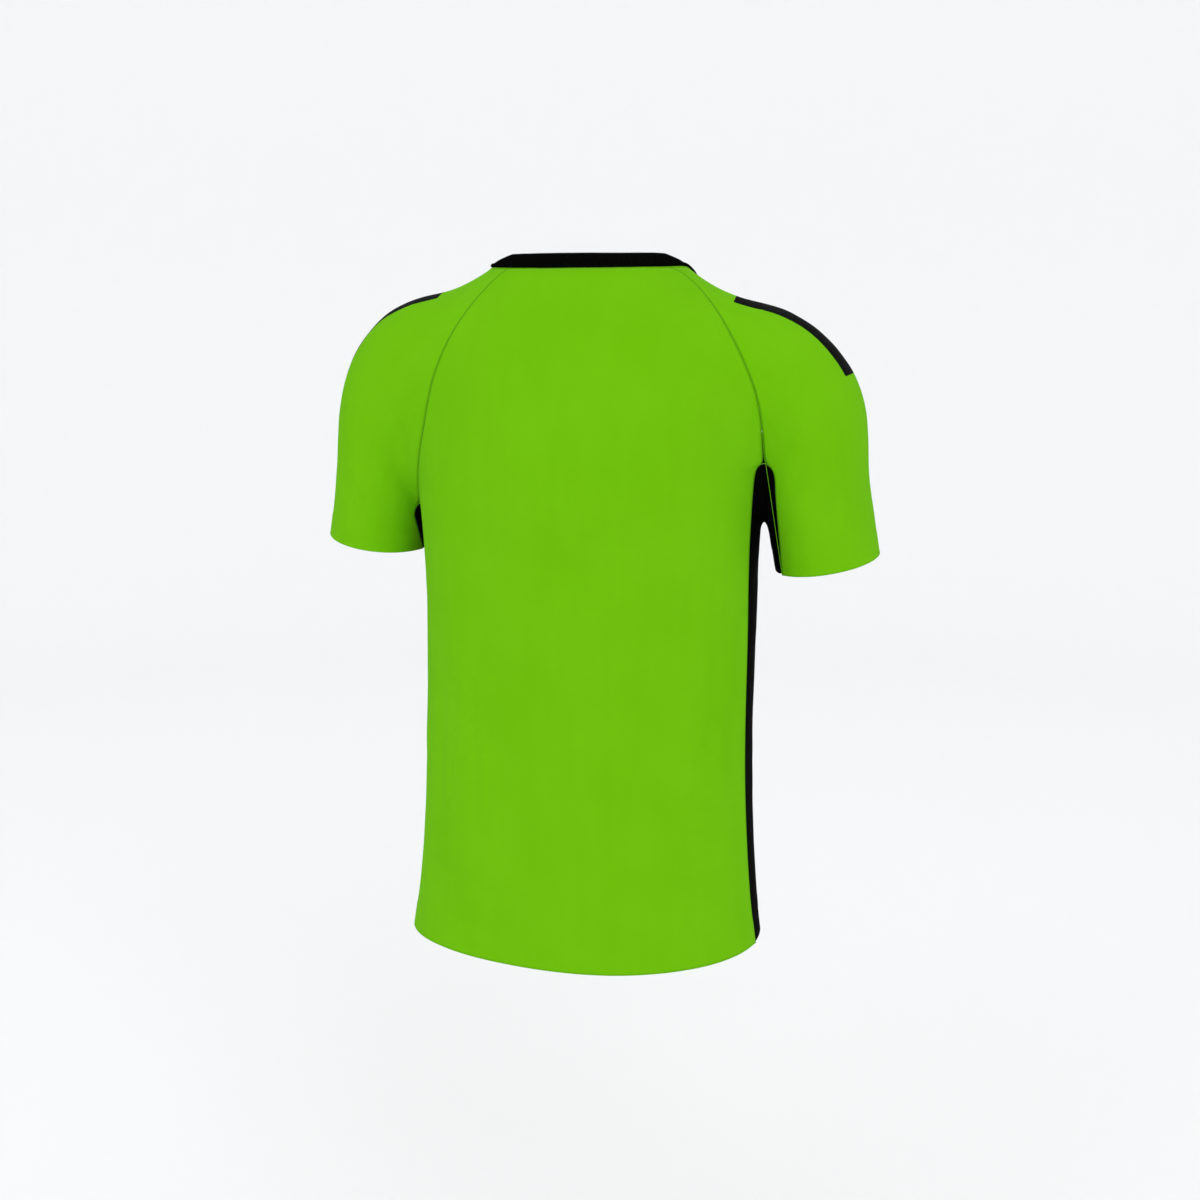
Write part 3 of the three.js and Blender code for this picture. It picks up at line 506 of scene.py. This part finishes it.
# The two side panels, black knit. Each is one long strip from the body's hem up to the armpit, over it and
# down the underside of the sleeve to the cuff.
BLACK = (0.0016, 0.0018, 0.0014, 1)
BLACK_SHADE = (0.0010, 0.0011, 0.0009, 1)
black = knit_material("black_knit", BLACK, BLACK_SHADE, 0.88, 0.0)
SIDE_PANELS = {
    "side_panel_left": {"outward": (1, 0, 0), "seed": 61, "flat": (0.134, 0.605), "area": 0.0369,
                        "creases": [(10, -300, 2, -420, 8, 1.0, 3), (-14, -430, -8, -560, 7, 0.8, -3)]},
    "side_panel_right": {"outward": (-1, 0, 0), "seed": 77, "flat": (0.187, 0.62), "area": 0.0433,
                         "creases": [(-6, -310, 4, -430, 8, 1.0, -3), (12, -440, 6, -570, 7, 0.8, 3)]},
}
for name, panel in SIDE_PANELS.items():
    piece = outer_skin(name, name + "_cloth", panel["outward"], (0, 0, 1), SMOOTHING["other"])
    at = places(piece.data)
    runs = sorted(borders(piece.data), key=lambda run: at[run, 2].mean())
    hem = runs.pop(0)
    cuff = max(runs, key=lambda run: abs(at[run, 0].mean()))
    seams = sorted((run for run in runs if run is not cuff), key=lambda run: at[run, 1].mean())
    front_seam, back_seam = seams
    outline[name] = {
        "hem": at[hem], "cuff": at[cuff], "front_seam": at[front_seam], "back_seam": at[back_seam],
    }
    wear(piece, black, black)
    finish_panel(piece, [(panel["creases"], panel["outward"][:2])], [hem, cuff], seams, panel["seed"])
    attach(piece, "root")
    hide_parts(name)

# The neck band, a black one-by-one rib, folded double and sewn on all round. It stands up to its fold, and
# its lower edge rolls outwards over the seam and lies on the cloth. Its ribs run from edge to fold.
RIB = {"pitch": 2.2, "depth": 0.28, "steps": 8}
WAVES = 22
FEEL_BELOW = 9
SHOULDER = {"sharpness": 1.3, "shorter_roll": 0.3}
FUZZ = {"scale": 1400.0, "relief": 0.1 * MM}
# The roll, up from its lower edge, in millimetres down the cloth and off it.
ROLL = [(10.2, -0.2), (10.4, 1.0), (9.6, 2.1), (7.6, 2.7), (5.6, 2.5), (4.4, 1.7), (2.6, 1.5), (0.9, 1.5)]
# The standing part, from the roll over the fold and down inside, in millimetres towards the neck and up:
# first as at the back and the front, then as over the shoulders.
STAND = [
    ((0.2, 1.3), (0.8, 1.6)), ((1.6, 2.7), (4.4, 3.4)), ((3.2, 3.9), (8.6, 5.2)),
    ((4.8, 4.8), (12.4, 6.8)), ((6.2, 5.2), (15.2, 7.8)), ((7.8, 5.2), (17.6, 8.0)),
    ((8.8, 4.0), (19.0, 6.6)), ((8.0, 1.2), (17.6, 4.2)), ((6.4, -2.4), (14.0, 1.2)),
    ((4.8, -6.0), (9.5, -2.6)), ((3.6, -9.0), (5.0, -6.2)),
]


def surface_of(*pieces):
    """A search tree over the skins of some pieces."""
    corners, faces = [], []
    for piece in pieces:
        start = len(corners)
        corners += [v.co for v in piece.data.vertices]
        faces += [[start + i for i in face.vertices] for face in piece.data.polygons]
    return bvhtree.BVHTree.FromPolygons(corners, faces)


def smooth_ring(values, waves, count):
    """A closed ring of values with only its first so many waves, read at so many points."""
    found = np.fft.rfft(values, axis=0)
    found[waves + 1:] = 0
    return np.fft.irfft(found, n=count, axis=0) * count / len(values)


def of_length_one(arrows):
    """Arrows of length one that point the same ways."""
    return arrows / np.linalg.norm(arrows, axis=1)[:, None]


cloth = {o.name: o for o in bpy.context.scene.objects if o.name.endswith("_cloth")}
garment = surface_of(*cloth.values())
sewn_to_band = ("back", "front", "sleeve_left", "sleeve_right")
seam_ring = np.concatenate([outline[name]["neck"] for name in sewn_to_band])
centre = seam_ring[:, :2].mean(0)
turns = np.arctan2(seam_ring[:, 1] - centre[1], seam_ring[:, 0] - centre[0])
seam_ring = seam_ring[np.argsort(turns)]
closed = np.vstack([seam_ring, seam_ring[:1]])
reached = np.concatenate([[0], np.cumsum(np.linalg.norm(np.diff(closed, axis=0), axis=1))])
ribs = round(reached[-1] / MM / RIB["pitch"])
columns = ribs * RIB["steps"]
spaced = np.arange(ribs) / ribs * reached[-1]
neck_ring = np.stack([np.interp(spaced, reached, closed[:, i]) for i in range(3)], axis=1)
neck_ring = smooth_ring(neck_ring, WAVES, ribs)
along = of_length_one(np.roll(neck_ring, -1, axis=0) - np.roll(neck_ring, 1, axis=0))
inwards = np.c_[centre - neck_ring[:, :2], np.zeros(ribs)]
inwards = of_length_one(inwards - along * (inwards * along).sum(1)[:, None])
upwards = np.cross(inwards, along)
upwards *= np.sign(upwards[:, 2])[:, None]
below = np.array([garment.find_nearest(Vector(p))[0] for p in neck_ring - upwards * FEEL_BELOW * MM])
downwards = of_length_one(smooth_ring(below - neck_ring, WAVES, ribs))
outwards = of_length_one(np.cross(along, downwards))
outwards *= -np.sign((outwards * inwards).sum(1))[:, None]
sideways = np.abs(inwards[:, 0]) ** SHOULDER["sharpness"]
rows = []
for down, off in ROLL:
    lain = []
    lower = down * (1 - SHOULDER["shorter_roll"] * sideways[:, None])
    for place, outward in zip(neck_ring + downwards * lower * MM, outwards):
        found, normal, _, _ = garment.find_nearest(Vector(place))
        lain.append(np.array(found) + outward * (CLOTH if normal.dot(Vector(outward)) < 0 else 0))
    rows.append(smooth_ring(np.array(lain), WAVES, ribs) + outwards * off * MM)
for middle, shoulder in STAND:
    across, up = (middle[i] + (shoulder[i] - middle[i]) * sideways for i in range(2))
    rows.append(neck_ring + (inwards * across[:, None] + upwards * up[:, None]) * MM)
band_foot = rows[0]
rows = [smooth_ring(row, ribs // 2, columns) for row in rows]
corners = np.concatenate(rows)
faces = []
for r in range(len(rows)):
    for k in range(columns):
        near, far = k, (k + 1) % columns
        above = (r + 1) % len(rows)
        here, there = r * columns, above * columns
        faces.append((here + near, here + far, there + far, there + near))
mesh = bpy.data.meshes.new("neck_band_rib")
mesh.from_pydata(corners.tolist(), [], faces)
band = bpy.data.objects.new("neck_band_rib", mesh)
bpy.context.collection.objects.link(band)
bpy.ops.object.select_all(action="DESELECT")
band.select_set(True)
bpy.context.view_layer.objects.active = band
bpy.ops.object.mode_set(mode="EDIT")
bpy.ops.mesh.select_all(action="SELECT")
bpy.ops.mesh.normals_make_consistent(inside=False)
bpy.ops.object.mode_set(mode="OBJECT")
ridge = np.cos(2 * math.pi * np.arange(columns) / RIB["steps"])
ridges = np.tile(ridge, len(rows)) * RIB["depth"] * MM
lifted = places(band.data) + normals(band.data) * ridges[:, None]
band.data.vertices.foreach_set("co", lifted.ravel())
band.data.update()
bpy.ops.object.shade_smooth()
rib = bpy.data.materials.new("black_rib")
rib.use_nodes = True
shader = rib.node_tree.nodes["Principled BSDF"]
shader.inputs["Specular IOR Level"].default_value = 0.012
shader.inputs["Roughness"].default_value = 0.9
where = rib.node_tree.nodes.new("ShaderNodeTexCoord").outputs["Object"]
fuzz = node_of(rib.node_tree, "ShaderNodeTexNoise", Vector=where, Scale=FUZZ["scale"], Detail=3.0)
fuzz_relief = node_of(
    rib.node_tree, "ShaderNodeBump", Height=fuzz.outputs[0], Strength=0.3, Distance=FUZZ["relief"]
)
rib.node_tree.links.new(fuzz_relief.outputs[0], shader.inputs["Normal"])
tone = node_of(rib.node_tree, "ShaderNodeValToRGB", i0=fuzz.outputs[0])
tone.color_ramp.elements[0].color = BLACK_SHADE
tone.color_ramp.elements[1].color = BLACK
rib.node_tree.links.new(tone.outputs[0], shader.inputs["Base Color"])
wear(band, rib)
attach(band, "root")
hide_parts("neck_band")

# The seams. A thin bright lime cord edges each seam between black and lime, and runs along the lower edge
# of the neck band; its lime, brighter than the cloth's, is a painted highlight along the seam's raised
# edge. Raglan seams are closed by a thread a little darker than the cloth's lime, as painted shade in the
# seam's groove, and a little sunk.
# A lime brighter than the cloth's: painted highlight along the raised edge of a seam.
PAINTED_HIGHLIGHT_LIME = (0.235, 0.640, 0.022, 1)
CORD = {"painted_highlight_cord": (0.5, 0.15), "raglan": (0.32, 0.35), "under_band": (0.5, 0.0)}
RAGLAN_STOPS_SHORT = 3 * MM
# A lime darker than the cloth's: painted shade in the groove of a raglan seam.
PAINTED_SHADE_LIME = (0.130, 0.430, 0.004, 1)


def thread_material(name, colour, roughness):
    """A smooth twisted thread or cord, a little lighter and darker along its length."""
    made = bpy.data.materials.new(name)
    made.use_nodes = True
    tree = made.node_tree
    shader = tree.nodes["Principled BSDF"]
    shader.inputs["Specular IOR Level"].default_value = 0.12
    shader.inputs["Roughness"].default_value = roughness
    where = tree.nodes.new("ShaderNodeTexCoord").outputs["Object"]
    twist = node_of(tree, "ShaderNodeTexNoise", Vector=where, Scale=700.0, Detail=2.0)
    ramp = node_of(tree, "ShaderNodeValToRGB", i0=twist.outputs[0])
    ramp.color_ramp.elements[0].color = tuple(0.85 * c for c in colour[:3]) + (1,)
    ramp.color_ramp.elements[1].color = colour
    tree.links.new(ramp.outputs[0], shader.inputs["Base Color"])
    relief = node_of(tree, "ShaderNodeBump", Height=twist.outputs[0], Strength=0.2, Distance=0.1 * MM)
    tree.links.new(relief.outputs[0], shader.inputs["Normal"])
    return made


def seam_cord(name, path, radius, sunk, material):
    """A round cord along a seam, of this radius and sunk this deep, both in millimetres."""
    line = bpy.data.curves.new(name, "CURVE")
    line.dimensions = "3D"
    line.bevel_depth = radius * MM
    line.bevel_resolution = 1
    line.use_fill_caps = True
    spline = line.splines.new("POLY")
    spline.points.add(len(path) - 1)
    for point, place in zip(spline.points, path):
        _, normal, _, _ = garment.find_nearest(Vector(place))
        outward = normal if normal.dot(Vector(place) - Vector((0, 0, place[2]))) > 0 else -normal
        point.co = (*(Vector(place) - outward * sunk * MM), 1)
    cord = bpy.data.objects.new(name, line)
    bpy.context.collection.objects.link(cord)
    bpy.ops.object.select_all(action="DESELECT")
    cord.select_set(True)
    bpy.context.view_layer.objects.active = cord
    bpy.ops.object.convert(target="MESH")
    bpy.ops.object.shade_smooth()
    wear(cord, material)
    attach(cord, "root")


# The edging cord's bright lime is painted highlight along the seam's raised edge.
painted_highlight_cord = thread_material("lime_edging", PAINTED_HIGHLIGHT_LIME, 0.6)
# The raglan thread's darker lime is painted shade in the seam's groove.
painted_shade_thread = thread_material("painted_shade_thread", PAINTED_SHADE_LIME, 0.7)
for name in SIDE_PANELS:
    side = name.removeprefix("side_panel_")
    for seam in ("back_seam", "front_seam"):
        seam_cord(f"edging_{side}_{seam}", outline[name][seam], *CORD["painted_highlight_cord"], painted_highlight_cord)
        panel_edge = outline[name][seam]
        raglan = [p for p in outline["sleeve_" + side][seam]
                  if np.linalg.norm(panel_edge - p, axis=1).min() > RAGLAN_STOPS_SHORT]
        seam_cord(f"raglan_{side}_{seam}", raglan, *CORD["raglan"], painted_shade_thread)
band_foot = np.vstack([band_foot, band_foot[:1]])
seam_cord("edging_under_neck_band", band_foot, *CORD["under_band"], painted_highlight_cord)

# The stitches: two rows of coverstitch round each cuff, two round the body's hem, and one just below the
# neck band. One stitch is modelled and set along the row as often as it needs.
STITCH = {"length": 1.9, "width": 0.42, "height": 0.3, "pitch": 2.9, "proud": 0.04}
ROWS_ABOVE_EDGE = {"sleeve": (13, 21), "body": (10, 16), "neck": (11.6,)}
STITCH_LIME = (0.330, 0.720, 0.110, 1)
STITCH_BLACK = (0.004, 0.004, 0.004, 1)
bpy.ops.object.select_all(action="DESELECT")
bpy.ops.mesh.primitive_uv_sphere_add(segments=8, ring_count=5, radius=0.5 * MM)
stitch = bpy.context.object
stitch.rotation_euler = (0, math.pi / 2, 0)
bpy.ops.object.transform_apply(location=False, rotation=True, scale=False)
stitch.scale = (STITCH["length"], STITCH["width"], STITCH["height"])
bpy.ops.object.transform_apply(location=False, rotation=False, scale=True)
stitch_spots = places(stitch.data)
stitch_faces = [list(face.vertices) for face in stitch.data.polygons]
bpy.data.objects.remove(stitch)


def stitch_row(name, edge, inwards, rise, material):
    """A row of stitches that follows an edge of the cloth, at a height above it in millimetres."""
    steps = np.linalg.norm(np.diff(edge, axis=0), axis=1)
    reached = np.concatenate([[0], np.cumsum(steps)])
    count = max(int(reached[-1] / MM / STITCH["pitch"]), 2)
    corners, faces = [], []
    for k in range(count):
        at = (k + 0.5) / count * reached[-1]
        spot, after = (
            np.array([np.interp(a, reached, edge[:, i]) for i in range(3)]) for a in (at, at + MM)
        )
        along = Vector(after - spot).normalized()
        _, normal, _, _ = garment.find_nearest(Vector(spot))
        up = normal.cross(along)
        up = up if up.dot(Vector(inwards)) > 0 else -up
        place, normal, _, _ = garment.find_nearest(Vector(spot) + up * rise * MM)
        across = normal.cross(along).normalized()
        along = across.cross(normal)
        turned = np.array([along, across, normal])
        start = len(corners)
        corners += list(stitch_spots @ turned + np.array(place + normal * STITCH["proud"] * MM))
        faces += [[start + i for i in face] for face in stitch_faces]
    mesh = bpy.data.meshes.new(name)
    mesh.from_pydata([tuple(c) for c in corners], [], faces)
    row = bpy.data.objects.new(name, mesh)
    bpy.context.collection.objects.link(row)
    bpy.ops.object.select_all(action="DESELECT")
    row.select_set(True)
    bpy.context.view_layer.objects.active = row
    bpy.ops.object.mode_set(mode="EDIT")
    bpy.ops.mesh.select_all(action="SELECT")
    bpy.ops.mesh.normals_make_consistent(inside=False)
    bpy.ops.object.mode_set(mode="OBJECT")
    bpy.ops.object.shade_smooth()
    wear(row, material)
    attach(row, "root")


stitch_lime = thread_material("lime_stitches", STITCH_LIME, 0.5)
stitch_black = thread_material("black_stitches", STITCH_BLACK, 0.6)
UP = (0, 0, 1)
DOWN = (0, 0, -1)
for name, edges in outline.items():
    thread = stitch_black if name.startswith("side") else stitch_lime
    kind = "sleeve" if name.startswith("sleeve") else "body"
    for number, rise in enumerate(ROWS_ABOVE_EDGE[kind], 1):
        stitch_row(f"stitches_{name}_hem_{number}", edges["hem"], UP, rise, thread)
    if "cuff" in edges:
        for number, rise in enumerate(ROWS_ABOVE_EDGE["sleeve"], 1):
            stitch_row(f"stitches_{name}_cuff_{number}", edges["cuff"], UP, rise, thread)
    if "neck" in edges:
        below_band = ROWS_ABOVE_EDGE["neck"][0]
        stitch_row(f"stitches_{name}_neck", edges["neck"], DOWN, below_band, stitch_lime)

# The studio: a plain pale floor that curves up into a low wall all round, an even sky, and two large soft
# lights on the side that the photo was taken from.
FLOOR = {"height": -1.05, "radius": 3.4, "curve": 1.5, "wall": 1.9, "steps": 96, "bends": 10}
bpy.ops.object.select_all(action="DESELECT")
profile = [(0.001, 0, FLOOR["height"]), (FLOOR["radius"], 0, FLOOR["height"])]
for k in range(1, FLOOR["bends"] + 1):
    bend = math.pi / 2 * k / FLOOR["bends"]
    profile.append((FLOOR["radius"] + FLOOR["curve"] * math.sin(bend), 0,
                    FLOOR["height"] + FLOOR["curve"] * (1 - math.cos(bend))))
profile.append((profile[-1][0], 0, FLOOR["wall"]))
mesh = bpy.data.meshes.new("studio_floor")
mesh.from_pydata(profile, [(k, k + 1) for k in range(len(profile) - 1)], [])
floor = bpy.data.objects.new("studio_floor", mesh)
bpy.context.collection.objects.link(floor)
bpy.context.view_layer.objects.active = floor
floor.select_set(True)
bpy.ops.object.mode_set(mode="EDIT")
bpy.ops.mesh.select_all(action="SELECT")
bpy.ops.mesh.spin(steps=FLOOR["steps"], angle=2 * math.pi, center=(0, 0, 0), axis=(0, 0, 1))
bpy.ops.mesh.select_all(action="SELECT")
bpy.ops.mesh.remove_doubles(threshold=1.5 * MM)
bpy.ops.mesh.normals_make_consistent(inside=True)
bpy.ops.object.mode_set(mode="OBJECT")
bpy.ops.object.shade_smooth()
pale = bpy.data.materials.new("pale_floor")
pale.use_nodes = True
pale.node_tree.nodes["Principled BSDF"].inputs["Base Color"].default_value = (0.92, 0.925, 0.93, 1)
pale.node_tree.nodes["Principled BSDF"].inputs["Roughness"].default_value = 0.95
pale.node_tree.nodes["Principled BSDF"].inputs["Specular IOR Level"].default_value = 0.0
wear(floor, pale)

world = bpy.data.worlds.new("studio_sky")
world.use_nodes = True
world.node_tree.nodes["Background"].inputs["Color"].default_value = (0.94, 0.945, 0.95, 1)
world.node_tree.nodes["Background"].inputs["Strength"].default_value = 1.05
bpy.context.scene.world = world
for name, place, size, power in (
    ("key_light", (-1.9, 3.2, 1.6), 2.4, 30),
    ("fill_light", (2.4, 2.8, 1.2), 2.4, 14),
):
    light = bpy.data.lights.new(name, "AREA")
    light.size = size
    light.energy = power
    lamp = bpy.data.objects.new(name, light)
    bpy.context.collection.objects.link(lamp)
    lamp.location = place
    lamp.rotation_euler = (Vector((0, 0, -0.35)) - Vector(place)).to_track_quat("-Z", "Y").to_euler()

# The camera, level, behind the wearer's right and as far away as the photo's own.
YAW = math.radians(13)
CAMERA = {"distance": 1.7, "height": -0.068, "lens": 51, "film": 36, "shift": (0.0075, -0.225)}
camera = bpy.data.objects.new("camera", bpy.data.cameras.new("camera"))
bpy.context.collection.objects.link(camera)
camera.location = (-CAMERA["distance"] * math.sin(YAW), CAMERA["distance"] * math.cos(YAW), CAMERA["height"])
camera.rotation_euler = (math.pi / 2, 0, math.pi + YAW)
camera.data.lens = CAMERA["lens"]
camera.data.sensor_width = CAMERA["film"]
camera.data.shift_x, camera.data.shift_y = CAMERA["shift"]
bpy.context.scene.camera = camera
bpy.context.scene.view_settings.view_transform = "Standard"
